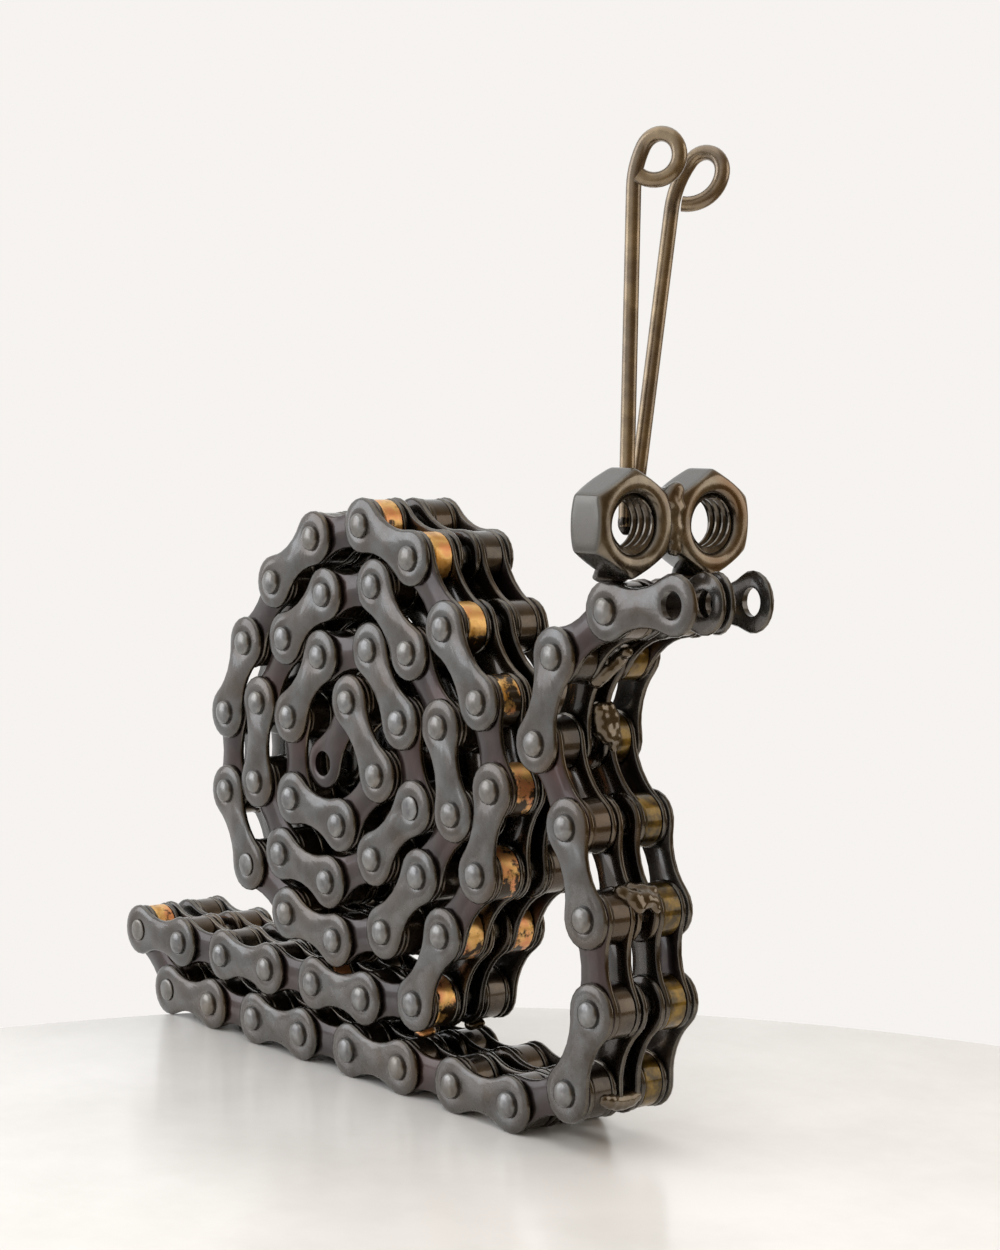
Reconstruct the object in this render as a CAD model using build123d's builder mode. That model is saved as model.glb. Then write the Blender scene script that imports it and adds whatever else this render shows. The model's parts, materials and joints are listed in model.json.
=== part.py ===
# A snail figurine welded from two bicycle chains, two hex nuts and two bent wires.
# The snail looks along +X and +Z is up. Its right side, the one the photograph shows, is at -Y.
# The origin is the middle of the footprint, on the surface that the foot stands on.
# The two chains lie side by side. Each runs from the open link at the snail's head down the
# neck, back along the foot, folds over at the tail, returns as the back run and coils into the shell.
# Joints are numbered from the open head link (0) to the open link in the coil's middle (60).
import os
from math import atan2, cos, degrees, hypot, radians, sin

from build123d import *

# Chain sizes in millimetres, of a half inch pitch bicycle chain
pitch = 12.7
roller_width = 3.3
inner_plate_thickness = 1.1
outer_plate_thickness = 1.1
waist_depth = 1.55
inner_plate_step = 0.3
roller_inset = 0.33
rivet_head_diameter = 3.8
rivet_head_height = 0.85
open_hole_diameter = 3.9

# How far the tips of the open head plates lean to the snail's right
right_inside_lean = 1.15
left_inside_lean = 2.7
left_outside_lean = 1.9

# Bushes and the free rollers on them
bush_diameter = 5.0
bore_clearance = 0.1
side_clearance = 0.1

# Gaps between the coil's turns and between the two chains, and how the foot and tail lie
turn_gap = 0.2
chain_weld_film = 0.1
back_rise = 8.6
tail_step = 3.4
standing_flat = 0.12

# Eyes: two M8 hex nuts, standing on the head link
nut_across_flats = 13.0
nut_thickness = 6.5
nut_bore_diameter = 6.8
eye_gap = 1.4
eye_lead = 4.75

# Antennae: two bent wires behind the eyes
wire_diameter = 2.1
wire_spacing = 2.0
right_wire_offset = 2.42
left_wire_setback = 0.9
wire_foot_drop = 0.6
right_shaft_length = 45.1
left_shaft_length = 43.2
right_loop_radii = (11.6, 2.9, 3.3)
left_loop_radii = (12.1, 2.75, 4.7)

# Welds
bridge_weld_diameter = 4.4
eye_fillet_leg = 2.4
eye_fillet_length = 3.6
eye_weld_height = 5.6
eye_weld_setback = 0.6
wire_pad_height = 2.2

# Angles in degrees, and how many flats stand for a round edge
right_lean = 0.1
left_lean = 7.95
loop_heading = 18.0
loop_return_turn = 23.0
right_lead_turn = 28.0
left_lead_turn = 33.5
right_loop_end = 128.0
left_loop_end = 92.0
round_flat_count = 6
roller_flat_count = 8
lead_flat_count = 2
loop_flat_count = 5
return_flat_count = 4

# The heading of each link in degrees: 0 is forward and 90 is up. The neck is listed from the
# foot up to the head, and the coil from the back run inward, one row for each turn.
neck_headings = [19, 69, 97, 109, 122, 75, 33, 7]
outer_turn_headings = [7, 61, 52, 77, 105, 129, 130, 160, 191, 215, 233, 246, 272, 299, 331]
middle_turn_headings = [350, 15, 49, 53, 105, 127, 133, 189, 216, 237, 268, 304, 348]
inner_turn_headings = [24, 44, 105, 127, 189, 232, 274, 348, 43, 125, 234]
foot_links = 7
back_links = 4


def walk(start, headings):
    """Joint places one pitch apart from a start, along the given headings."""
    places = [start]
    for heading in headings:
        x, z = places[-1]
        places.append((x + pitch * cos(radians(heading)), z + pitch * sin(radians(heading))))
    return places[1:]


def tail_joint(below, above):
    """The joint behind two others that is one pitch from each."""
    step = above[0] - below[0]
    rise = above[1] - below[1]
    apart = hypot(step, rise)
    reach = (pitch**2 - (apart / 2) ** 2) ** 0.5
    middle_x = (below[0] + above[0]) / 2
    middle_z = (below[1] + above[1]) / 2
    return (middle_x - reach * rise / apart, middle_z + reach * step / apart)


def chain_route():
    """All joints from the head to the coil's middle, with the foot's last joint at the origin."""
    foot = [(0, 0)] + walk((0, 0), [0] * foot_links)
    neck = walk(foot[-1], neck_headings)
    back_start = (tail_step, back_rise)
    back = [back_start] + walk(back_start, [0] * back_links)
    coil = walk(back[-1], outer_turn_headings + middle_turn_headings + inner_turn_headings)
    return neck[::-1] + foot[::-1] + [tail_joint(foot[0], back_start)] + back + coil


def closest_turns(places):
    """The least distance between two joints that no link joins."""
    pairs = [(a, b) for i, a in enumerate(places) for b in places[i + 2 :]]
    return min(hypot(a[0] - b[0], a[1] - b[1]) for a, b in pairs)


# The plates are as high as the coil leaves room for, and the rollers lie inside their edges
route = chain_route()
plate_height = closest_turns(route) - turn_gap
inner_plate_height = plate_height - inner_plate_step
roller_diameter = plate_height - 2 * roller_inset

# The route moved so that the foot stands on the floor and the footprint is centred
centre_x = (max(x for x, z in route) + min(x for x, z in route)) / 2
foot_z = plate_height / 2 - standing_flat
joints = [(x - centre_x, z + foot_z) for x, z in route]

# Places of the right chain across the snail. The left chain mirrors it about the middle plane.
chain_width = roller_width + 2 * inner_plate_thickness + 2 * outer_plate_thickness
chain_gap = 2 * rivet_head_height + chain_weld_film
chain_middle = -(chain_width + chain_gap) / 2
outer_plate_sides = [chain_middle + chain_width / 2, chain_middle - chain_width / 2 + outer_plate_thickness]
inner_plate_sides = [chain_middle + roller_width / 2 + inner_plate_thickness, chain_middle - roller_width / 2]
roller_side = chain_middle + roller_width / 2

# The links of each stretch by their first joint, and the joints of each stretch. The head link,
# which is link 0, is built by itself.
link_stretches = {
    "neck": range(1, 8),
    "foot": range(8, 16),
    "back": range(16, 21),
    "shell_outer_turn": range(21, 36),
    "shell_middle_turn": range(36, 49),
    "shell_inner_turn": range(49, 60),
}
joint_stretches = {"neck": range(1, 8), "foot": range(8, 22), "shell": range(22, 60)}

# The rollers that no weld holds, and the joints where the chains' facing rivets are welded together
free_rollers = {"neck_upper": 4, "neck_lower": 6, "foot_front": 8, "foot_second": 9}
bridged_joints = [1, 2, 3, 5, 7, 12, 16, 24, 30, 37, 51]

os.makedirs("parts", exist_ok=True)


def save(part, name):
    """Label a finished piece and write it as a STEP file."""
    part.label = name
    export_step(part, f"parts/{name}.step")


def save_pair(part, name):
    """Write a piece of the right chain, and its mirror image in the left chain."""
    save(part, f"right_{name}")
    save(mirror(part, about=Plane.XZ), f"left_{name}")


def side_plane(y):
    """The side-view plane at a given y. What is extruded from it grows toward the snail's right."""
    return Plane.XZ.offset(-y)


def rounded_end(height, toward):
    """Half a plate end as flats: points from one edge round to the other, facing toward or away."""
    return [(toward * height / 2 * cos(radians(a)), height / 2 * sin(radians(a))) for a in (90, 30, -30, -90)]


def plate_outline(height):
    """A figure-eight plate that lies along X from its first joint, with a waist between the ends."""
    half_waist = plate_height / 2 - waist_depth
    front = [(pitch + x, z) for x, z in rounded_end(height, 1)]
    rear = rounded_end(height, -1)[::-1]
    return front + [(pitch / 2, -half_waist)] + rear + [(pitch / 2, half_waist)]


def link_location(link):
    """The place and heading of a link in the side view."""
    x, z = joints[link]
    next_x, next_z = joints[link + 1]
    return Location((x, z, 0), (0, 0, degrees(atan2(next_z - z, next_x - x))))


def link_plates(links, sides, height, thickness):
    """The plates of the given links, each a separate piece, on both sides of the right chain."""
    with BuildPart() as plates:
        for side in sides:
            with BuildSketch(side_plane(side)):
                with Locations([link_location(link) for link in links]):
                    Polygon(*plate_outline(height))
                if len(joints) - 2 in links:
                    with Locations(joints[-1]):
                        RegularPolygon(open_hole_diameter / 2, round_flat_count, mode=Mode.SUBTRACT)
            extrude(amount=thickness)
    return plates.part


def head_plate(side, lean):
    """One plate of the head link, which leans to the snail's right from the inner link's end on."""
    rear_x = joints[1][0] - plate_height / 2
    bend_x = joints[1][0] + plate_height / 2
    tip_x = joints[0][0] + plate_height / 2
    left_face = [(rear_x, side), (bend_x, side), (tip_x, side - lean)]
    right_face = [(x, y - outer_plate_thickness) for x, y in left_face]
    with BuildPart() as plate:
        with BuildSketch(side_plane(side)):
            with Locations(link_location(0)):
                Polygon(*plate_outline(plate_height))
            with Locations(joints[0]):
                RegularPolygon(open_hole_diameter / 2, round_flat_count, mode=Mode.SUBTRACT)
        extrude(amount=outer_plate_thickness + lean)
        with BuildSketch():
            Polygon(*left_face, *right_face[::-1])
        extrude(amount=joints[0][1] + plate_height, mode=Mode.INTERSECT)
    return plate.part


def with_head(plates, head_sides):
    """The neck's plates together with the head link's, whose sides and leans are given."""
    with BuildPart() as neck:
        add(plates)
        for side, lean in head_sides:
            add(head_plate(side, lean))
    return neck.part


def stood_on_floor(pieces):
    """The same pieces with what reaches below the floor worn flat."""
    with BuildPart() as worn:
        add(pieces)
        split(bisect_by=Plane.XY, keep=Keep.TOP)
    return worn.part


# Side plates. Even links are outer links, whose plates hold the pins, and odd ones are inner links.
for stretch, links in link_stretches.items():
    outer_links = [link for link in links if link % 2 == 0]
    inner_links = [link for link in links if link % 2 == 1]
    outer = link_plates(outer_links, outer_plate_sides, plate_height, outer_plate_thickness)
    inner = link_plates(inner_links, inner_plate_sides, inner_plate_height, inner_plate_thickness)
    if stretch == "foot":
        outer = stood_on_floor(outer)
    if stretch != "neck":
        save_pair(outer, f"{stretch}_outer_plates")
    else:
        right_head = zip(outer_plate_sides, (right_inside_lean, 0))
        left_sides = [outer_plate_thickness - side for side in outer_plate_sides]
        left_head = zip(left_sides, (left_inside_lean, left_outside_lean))
        save(with_head(outer, right_head), "right_neck_outer_plates")
        save(with_head(mirror(outer, about=Plane.XZ), left_head), "left_neck_outer_plates")
    save_pair(inner, f"{stretch}_inner_plates")


# Rollers that welding has fixed to their bushes and pins, one solid at each joint
for stretch, numbers in joint_stretches.items():
    fixed = [joints[number] for number in numbers if number not in free_rollers.values()]
    with BuildPart() as fixed_rollers:
        with BuildSketch(side_plane(roller_side)):
            with Locations(fixed):
                RegularPolygon(roller_diameter / 2, round_flat_count)
        extrude(amount=roller_width)
    save_pair(fixed_rollers.part, f"{stretch}_fixed_rollers")


# Free rollers, each turning on its bush between the inner plates
for place, number in free_rollers.items():
    with BuildPart() as free_roller:
        with BuildSketch(side_plane(roller_side - side_clearance)):
            with Locations(joints[number]):
                RegularPolygon(roller_diameter / 2, roller_flat_count)
                RegularPolygon(bush_diameter / 2 + bore_clearance, round_flat_count, False, mode=Mode.SUBTRACT)
        extrude(amount=roller_width - 2 * side_clearance)
    save_pair(free_roller.part, f"{place}_roller")

with BuildPart() as bushes:
    with BuildSketch(side_plane(roller_side)):
        with Locations([joints[number] for number in free_rollers.values()]):
            RegularPolygon(bush_diameter / 2, round_flat_count)
    extrude(amount=roller_width)
save_pair(bushes.part, "bushes")


# Rivet heads, which close the pins against the outer plates on the snail's outside
for stretch, numbers in joint_stretches.items():
    with BuildPart() as rivet_heads:
        with BuildSketch(side_plane(chain_middle - chain_width / 2)):
            with Locations([joints[number] for number in numbers]):
                RegularPolygon(rivet_head_diameter / 2, round_flat_count)
        extrude(amount=rivet_head_height)
    save_pair(rivet_heads.part, f"{stretch}_rivet_heads")


# Welds between the chains, each joining two facing rivets across the gap
with BuildPart() as bridge_welds:
    with BuildSketch(side_plane(chain_gap / 2)):
        with Locations([joints[number] for number in bridged_joints]):
            RegularPolygon(bridge_weld_diameter / 2, round_flat_count)
    extrude(amount=chain_gap)
save(bridge_welds.part, "bridge_welds")


# Braze that seats the coil's front on the foot, between the rollers of joints 10 and 22
seat_below = joints[10]
seat_above = joints[22]
seat_span = hypot(seat_above[0] - seat_below[0], seat_above[1] - seat_below[1])
with BuildPart() as coil_seat:
    with BuildSketch(side_plane(roller_side)):
        with Locations(((seat_below[0] + seat_above[0]) / 2, (seat_below[1] + seat_above[1]) / 2)):
            RegularPolygon((seat_span - roller_diameter) / 2, round_flat_count)
    extrude(amount=roller_width)
save_pair(coil_seat.part, "coil_seat_braze")


# Eyes. Each nut stands on one corner on top of the head link, with its bore facing forward.
nut_corner_radius = nut_across_flats / 2 / cos(radians(30))
eye_front = joints[1][0] + eye_lead
eye_back = eye_front - nut_thickness
eye_bottom = joints[1][1] + plate_height / 2
eye_z = eye_bottom + nut_corner_radius
eye_y = -(nut_across_flats + eye_gap) / 2

with BuildPart() as eye:
    with BuildSketch(Plane.YZ.offset(eye_back)):
        with Locations((eye_y, eye_z)):
            RegularPolygon(nut_corner_radius, 6, rotation=30)
            Circle(nut_bore_diameter / 2, mode=Mode.SUBTRACT)
    extrude(amount=nut_thickness)
save_pair(eye.part, "eye_nut")

with BuildPart() as eye_weld:
    with BuildSketch(Plane.YZ.offset(eye_back + eye_weld_setback)):
        with Locations((0, eye_z)):
            Rectangle(eye_gap, eye_weld_height)
    extrude(amount=nut_thickness)
save(eye_weld.part, "eye_weld")

with BuildPart() as eye_fillets:
    with BuildSketch(Plane.YZ.offset(joints[1][0] - eye_fillet_length / 2)):
        for outward in (-1, 1):
            foot = (eye_y + outward * eye_fillet_leg, eye_bottom)
            top = (foot[0], eye_bottom + eye_fillet_leg * sin(radians(30)) / cos(radians(30)))
            Polygon((eye_y, eye_bottom), foot, top)
    extrude(amount=eye_fillet_length)
save_pair(eye_fillets.part, "eye_fillet_welds")


# Antennae. Each wire rises behind the eyes and curls forward into a loop that closes beside itself.
def arc_points(start, outward, forward, radius, turn, flat_count):
    """Points round an arc that leaves its start along forward and bends toward outward."""
    steps = [radians(turn * (step + 1) / flat_count) for step in range(flat_count)]
    return [start + outward * radius * (1 - cos(step)) + forward * radius * sin(step) for step in steps]


def antenna(foot, lean, shaft_length, loop_radii, lead_turn, loop_end):
    """A straight shaft, a wide bend into a tight one over the top, and a return arc to the snail's right."""
    lead_radius, top_radius, return_radius = loop_radii
    up = Vector(0, sin(radians(lean)), cos(radians(lean)))
    across = Vector(cos(radians(loop_heading)), sin(radians(loop_heading)), 0)
    over = (across - up * across.dot(up)).normalized()
    sideways = up.cross(over)
    back = over * -cos(radians(loop_return_turn)) - sideways * sin(radians(loop_return_turn))
    lead_up = up * cos(radians(lead_turn)) + over * sin(radians(lead_turn))
    lead_over = over * cos(radians(lead_turn)) - up * sin(radians(lead_turn))
    base = Vector(*foot, eye_z - wire_foot_drop)
    points = [base, base + up * shaft_length]
    points += arc_points(points[-1], over, up, lead_radius, lead_turn, lead_flat_count)
    points += arc_points(points[-1], lead_over, lead_up, top_radius, 180 - lead_turn, loop_flat_count)
    points += arc_points(points[-1], back, -up, return_radius, loop_end, return_flat_count)
    with BuildPart() as wire:
        with BuildLine():
            Polyline(*points)
        with BuildSketch(Plane(origin=base, z_dir=up)):
            RegularPolygon(wire_diameter / 2, round_flat_count)
        sweep(transition=Transition.RIGHT)
    return wire.part


left_wire_offset = wire_spacing - right_wire_offset
right_foot = (eye_back - wire_diameter / 2, -right_wire_offset)
left_foot = (right_foot[0] - left_wire_setback, left_wire_offset)
right_wire = antenna(right_foot, right_lean, right_shaft_length, right_loop_radii, right_lead_turn, right_loop_end)
left_wire = antenna(left_foot, left_lean, left_shaft_length, left_loop_radii, left_lead_turn, left_loop_end)
save(right_wire, "right_antenna")
save(left_wire, "left_antenna")

wire_pad_top = eye_z - wire_foot_drop - wire_diameter / 2 * sin(radians(left_lean))
with BuildPart() as antenna_weld:
    with BuildSketch(Plane.YZ.offset(eye_back - wire_diameter - left_wire_setback)):
        with Locations(((left_wire_offset - right_wire_offset) / 2, wire_pad_top - wire_pad_height / 2)):
            Rectangle(wire_spacing + wire_diameter, wire_pad_height)
    extrude(amount=wire_diameter + left_wire_setback)
save(antenna_weld.part, "antenna_weld")
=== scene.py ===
# %% [markdown]
# # A snail welded from two bicycle chains
# The real object is an ornament the size of a hand. Two roller chains lie side by side and are
# welded into a neck, a foot and a coiled shell. Two nuts are its eyes and two wires its antennae.
# A CAD model of it is already there, with every piece in its place, but its round edges are cut to
# a few flats. So each piece is modelled once more here, round and worn, and put where the CAD says.

# %% Load the CAD model
import bmesh
import bpy
import json
from math import atan2, cos, hypot, pi, radians, sin, tan
from mathutils import Matrix, Vector

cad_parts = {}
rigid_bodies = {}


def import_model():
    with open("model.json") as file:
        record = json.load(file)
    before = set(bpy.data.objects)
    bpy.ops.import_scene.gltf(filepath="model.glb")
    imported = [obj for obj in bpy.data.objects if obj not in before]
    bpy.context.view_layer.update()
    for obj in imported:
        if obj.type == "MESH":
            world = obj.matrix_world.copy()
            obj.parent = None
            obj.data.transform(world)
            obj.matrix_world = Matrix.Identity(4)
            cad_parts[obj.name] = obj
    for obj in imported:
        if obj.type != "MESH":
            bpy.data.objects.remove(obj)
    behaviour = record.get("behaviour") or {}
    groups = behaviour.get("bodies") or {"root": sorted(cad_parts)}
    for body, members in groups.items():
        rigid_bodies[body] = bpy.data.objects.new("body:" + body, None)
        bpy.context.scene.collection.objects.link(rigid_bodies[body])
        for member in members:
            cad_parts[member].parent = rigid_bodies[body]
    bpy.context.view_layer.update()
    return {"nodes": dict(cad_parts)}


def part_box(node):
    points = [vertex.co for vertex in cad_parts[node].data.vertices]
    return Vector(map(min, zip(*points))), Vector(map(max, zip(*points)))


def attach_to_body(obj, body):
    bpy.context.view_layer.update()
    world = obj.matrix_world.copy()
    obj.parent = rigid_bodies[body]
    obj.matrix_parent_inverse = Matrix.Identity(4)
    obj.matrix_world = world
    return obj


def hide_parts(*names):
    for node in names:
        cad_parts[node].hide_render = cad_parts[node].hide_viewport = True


for leftover in list(bpy.data.objects):
    bpy.data.objects.remove(leftover)

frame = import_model()
mm = 0.001


def in_mm(lengths, digits=1):
    """Lengths in metres as rounded millimetres, to print."""
    return [round(length / mm, digits) for length in lengths]


# %% [markdown]
# ## Camera
# The photograph was taken from the snail's front right, a little above the head, with a longer
# lens from about 0.37 m away. The place, the turn and the focal length were worked out from the
# pins, which are a known half inch apart, so the camera is set from those numbers and not by eye.

# %% Camera at the photograph's place
camera_place = Vector((294.6, -229.2, 97.1)) * mm
camera_turn = radians(50.14)
camera_elevation = radians(4.28)
camera_roll = radians(1.03)
image_width = 1000
focal_pixels = 2478.5
sensor_width = 36

backward = Vector((
    sin(camera_turn) * cos(camera_elevation),
    -cos(camera_turn) * cos(camera_elevation),
    sin(camera_elevation),
))
level_right = Vector((0, 0, 1)).cross(backward).normalized()
level_up = backward.cross(level_right)
right = level_right * cos(camera_roll) + level_up * sin(camera_roll)
up = backward.cross(right)

lens = bpy.data.cameras.new("photograph_camera")
lens.sensor_fit = "HORIZONTAL"
lens.sensor_width = sensor_width
lens.lens = sensor_width * focal_pixels / image_width
lens.clip_start = 0.01
lens.clip_end = 20
camera = bpy.data.objects.new("photograph_camera", lens)
camera.matrix_world = Matrix((
    (right.x, up.x, backward.x, camera_place.x),
    (right.y, up.y, backward.y, camera_place.y),
    (right.z, up.z, backward.z, camera_place.z),
    (0, 0, 0, 1),
))
bpy.context.scene.collection.objects.link(camera)
bpy.context.scene.camera = camera
bpy.context.scene.view_settings.view_transform = "Standard"
print("Lens in mm:", round(lens.lens, 1))

# %% [markdown]
# ## Colours and nodes
# Colours are written as they are read off a screen, in sRGB hex, and one function turns them to the
# linear values that Blender's shaders want. One more adds a node with its settings and inputs, and
# short ones on top of it make the few steps that every material here is built from: noise of a
# size in millimetres, a colour ramp, a mix, a remapped value and the way a surface faces.

# %% Colour and node helpers
def hex_colour(text):
    """A linear colour with full alpha from an sRGB hex string."""
    values = [int(text[start : start + 2], 16) / 255 for start in (0, 2, 4)]
    linear = [v / 12.92 if v <= 0.04045 else ((v + 0.055) / 1.055) ** 2.4 for v in values]
    return linear + [1]


def empty_tree(owner):
    """The node tree of a material or a world, with nothing in it yet."""
    owner.use_nodes = True
    owner.node_tree.nodes.clear()
    return owner.node_tree


def add_node(tree, kind, inputs=None, **settings):
    """A new node. Each input is given a value, a hex colour or another node's output."""
    node = tree.nodes.new("ShaderNode" + kind)
    for name, value in settings.items():
        setattr(node, name, value)
    for name, value in (inputs or {}).items():
        if isinstance(value, bpy.types.NodeSocket):
            tree.links.new(value, node.inputs[name])
        else:
            colour = isinstance(value, str)
            node.inputs[name].default_value = hex_colour(value) if colour else value
    return node


def noise(tree, size, detail, roughness=0.5):
    """Noise of a size in mm, fixed to the object's own coordinates."""
    place = add_node(tree, "TexCoord").outputs["Object"]
    inputs = {"Vector": place, "Scale": 1 / (size * mm), "Detail": detail, "Roughness": roughness}
    return add_node(tree, "TexNoise", inputs).outputs["Fac"]


def ramp(tree, value, stops):
    """The colours of a ramp whose stops are positions with hex colours."""
    node = add_node(tree, "ValToRGB", {"Fac": value})
    elements = node.color_ramp.elements
    elements.remove(elements[-1])
    elements[0].position = stops[0][0]
    elements[0].color = hex_colour(stops[0][1])
    for position, colour in stops[1:]:
        elements.new(position).color = hex_colour(colour)
    return node.outputs["Color"]


def remap(tree, value, start, end, low=0.0, high=1.0, kind="LINEAR"):
    """A value between start and end as one between low and high, and held there."""
    inputs = {"Value": value, "From Min": start, "From Max": end, "To Min": low, "To Max": high}
    return add_node(tree, "MapRange", inputs, interpolation_type=kind).outputs[0]


def mix_colours(tree, share, first, second):
    """A colour that goes from the first to the second as the share goes from 0 to 1."""
    return add_node(tree, "Mix", {0: share, 6: first, 7: second}, data_type="RGBA").outputs[2]


def compute(tree, operation, *values):
    """The result of a math node on numbers and other nodes' outputs."""
    return add_node(tree, "Math", dict(enumerate(values)), operation=operation).outputs[0]


def facing(tree, coordinates, direction):
    """How far a normal or a ray points along a direction, from -1 to 1."""
    source = add_node(tree, "TexCoord").outputs[coordinates]
    node = add_node(tree, "VectorMath", {0: source, 1: direction}, operation="DOT_PRODUCT")
    return node.outputs["Value"]


def show_surface(tree, inputs):
    """End a material with one principled shader."""
    surface = add_node(tree, "BsdfPrincipled", inputs)
    add_node(tree, "OutputMaterial", {"Surface": surface.outputs["BSDF"]})


# %% [markdown]
# ## Table
# The snail was photographed on a round table top of pale polished stone. A thick disc with a
# rounded rim stands for it, placed so that its far edge falls where the photograph shows it. A soft
# gloss gives the faint mirror image under the foot, and wide clouds of noise the stone's shades.

# %% Stone table top
table_radius = 167 * mm
table_thickness = 12 * mm
table_place = (100.2 * mm, -65.5 * mm, -table_thickness / 2)
clouds_per_metre = 22
stone_cloud_size = 1 / clouds_per_metre / mm

bpy.ops.object.select_all(action="DESELECT")
bpy.ops.mesh.primitive_cylinder_add(
    vertices=160, radius=table_radius, depth=table_thickness, location=table_place)
table = bpy.context.active_object
table.name = "table_top"
bpy.ops.object.transform_apply(location=True, rotation=False, scale=False)
bpy.ops.object.mode_set(mode="EDIT")
bpy.ops.mesh.bevel(offset=2 * mm, segments=4)
bpy.ops.object.mode_set(mode="OBJECT")
bpy.ops.object.shade_smooth_by_angle(angle=radians(40))

stone = bpy.data.materials.new("polished_pale_stone")
tree = empty_tree(stone)
clouds = noise(tree, stone_cloud_size, 5.0, 0.65)
shades = ramp(tree, clouds, ((0.3, "eceae6"), (0.6, "f9f7f4")))
show_surface(tree, {"Base Color": shades, "Roughness": 0.2, "Specular IOR Level": 0.35})
table.data.materials.append(stone)
print(table.name, "has", len(table.data.polygons), "faces")

# %% [markdown]
# ## Room
# A white wall stood behind, and the light came from the photograph's left, which is the snail's
# right rear. The world is wall, room and light at once, told apart by the kind of ray. Camera rays,
# and rays through glass, see the wall's plain white. Mirror rays see a room that is brighter and
# whiter on the light's side and darker and warmer away from it, because that is what gives the dark
# metal its shading in the photograph. Matt surfaces are lit by that same room, a little stronger.

# %% World
toward_windows = (-0.85, -0.45, 0.27)
level_away_from_windows = 0.3
gain_toward_windows = 0.7
matt_light_gain = 1.28

world = bpy.data.worlds.new("white_room")
bpy.context.scene.world = world
tree = empty_tree(world)
rays = add_node(tree, "LightPath").outputs
window_side = remap(tree, facing(tree, "Generated", toward_windows), -0.75, 0.35, kind="SMOOTHSTEP")
mirrored = compute(tree, "MULTIPLY_ADD", window_side, gain_toward_windows, level_away_from_windows)
falling = compute(tree, "MULTIPLY", mirrored, matt_light_gain)
strength = add_node(tree, "Mix", {0: rays["Is Glossy Ray"], 2: falling, 3: mirrored}).outputs[0]
tint = mix_colours(tree, window_side, "e0be8c", "f5f5f5")
room_light = add_node(tree, "Background", {"Color": tint, "Strength": strength}).outputs[0]
wall = add_node(tree, "Background", {"Color": "f6f3f0", "Strength": 1.0}).outputs[0]
seen = compute(tree, "MAXIMUM", rays["Is Camera Ray"], rays["Is Transmission Ray"])
background = add_node(tree, "MixShader", {0: seen, 1: room_light, 2: wall}).outputs[0]
add_node(tree, "OutputWorld", {"Surface": background})
print("World nodes:", len(tree.nodes))

# %% [markdown]
# ## Lamps
# Three square lamps stand for the windows: one above, one at the photograph's left and one at its
# right. The large one at the left gives wide, even reflections on the flat plates, and the one at
# the right lights the rollers, whose round sides mirror that direction.

# %% Soft lamps
def soft_lamp(name, place, target, size, power, colour):
    """A square area lamp that faces a target, all in metres and watts."""
    lamp = bpy.data.lights.new(name, "AREA")
    lamp.shape = "SQUARE"
    lamp.color = hex_colour(colour)[:3]
    lamp.size = size
    lamp.energy = power
    holder = bpy.data.objects.new(name, lamp)
    turn = (Vector(target) - Vector(place)).to_track_quat("-Z", "Y").to_matrix().to_4x4()
    holder.matrix_world = Matrix.Translation(place) @ turn
    bpy.context.scene.collection.objects.link(holder)


soft_lamp("window_above", (-0.2, -0.15, 0.9), (0, 0, 0.05), 1.0, 1.6, "fffcf8")
soft_lamp("window_at_the_left", (-1.28, -1.32, 0.6), (0, 0, 0.06), 1.2, 10.8, "f1f6ff")
soft_lamp("window_at_the_right", (0.56, 0.68, 0.33), (0, 0, 0.06), 0.6, 1.8, "fffcf8")

# %% [markdown]
# ## Reading solids from the CAD model
# A chain has hundreds of equal pieces, and each CAD node holds many of them as separate solids. So
# the places are read from those solids. The middle of a rivet head is a joint, and the long
# direction of a plate is the way its link points, half a pitch to each side of its centre.

# %% Separate solids, their middles and their ends
pitch = 12.7 * mm
doubled_corner = 0.001 * mm
same_joint = 1.5 * mm


def solids_of(node):
    """The corner points of each separate solid in a CAD node."""
    copy = bmesh.new()
    copy.from_mesh(frame["nodes"][node].data)
    bmesh.ops.remove_doubles(copy, verts=copy.verts, dist=doubled_corner)
    waiting = {corner: True for corner in copy.verts}
    solids = []
    while waiting:
        reached = [waiting.popitem()[0]]
        for corner in reached:
            for edge in corner.link_edges:
                if waiting.pop(edge.other_vert(corner), False):
                    reached.append(edge.other_vert(corner))
        solids.append([corner.co.copy() for corner in reached])
    copy.free()
    return solids


def middle(corners):
    """The middle of the corners' box."""
    low = Vector([min(corner[axis] for corner in corners) for axis in range(3)])
    high = Vector([max(corner[axis] for corner in corners) for axis in range(3)])
    return (low + high) / 2


def plate_ends(corners):
    """The two joint places of a plate, from its long direction in the side view."""
    rough = sum(corners, Vector()) / len(corners)
    mixed = sum((corner.x - rough.x) * (corner.z - rough.z) for corner in corners)
    spread = sum((corner.x - rough.x) ** 2 - (corner.z - rough.z) ** 2 for corner in corners)
    heading = atan2(2 * mixed, spread) / 2
    along = Vector((cos(heading), 0, sin(heading)))
    above = Vector((-sin(heading), 0, cos(heading)))
    lengths = [corner.dot(along) for corner in corners]
    heights = [corner.dot(above) for corner in corners]
    centre = along * (min(lengths) + max(lengths)) / 2 + above * (min(heights) + max(heights)) / 2
    return centre - along * pitch / 2, centre + along * pitch / 2


def near(place, other):
    """Whether two places are the same joint in the side view."""
    return hypot(place.x - other.x, place.z - other.z) < same_joint


pins = []
for stretch in ("neck", "foot", "shell"):
    for corners in solids_of(f"right_{stretch}_rivet_heads"):
        pins.append(Vector((middle(corners).x, 0, middle(corners).z)))
print("Pins:", len(pins))

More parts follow.
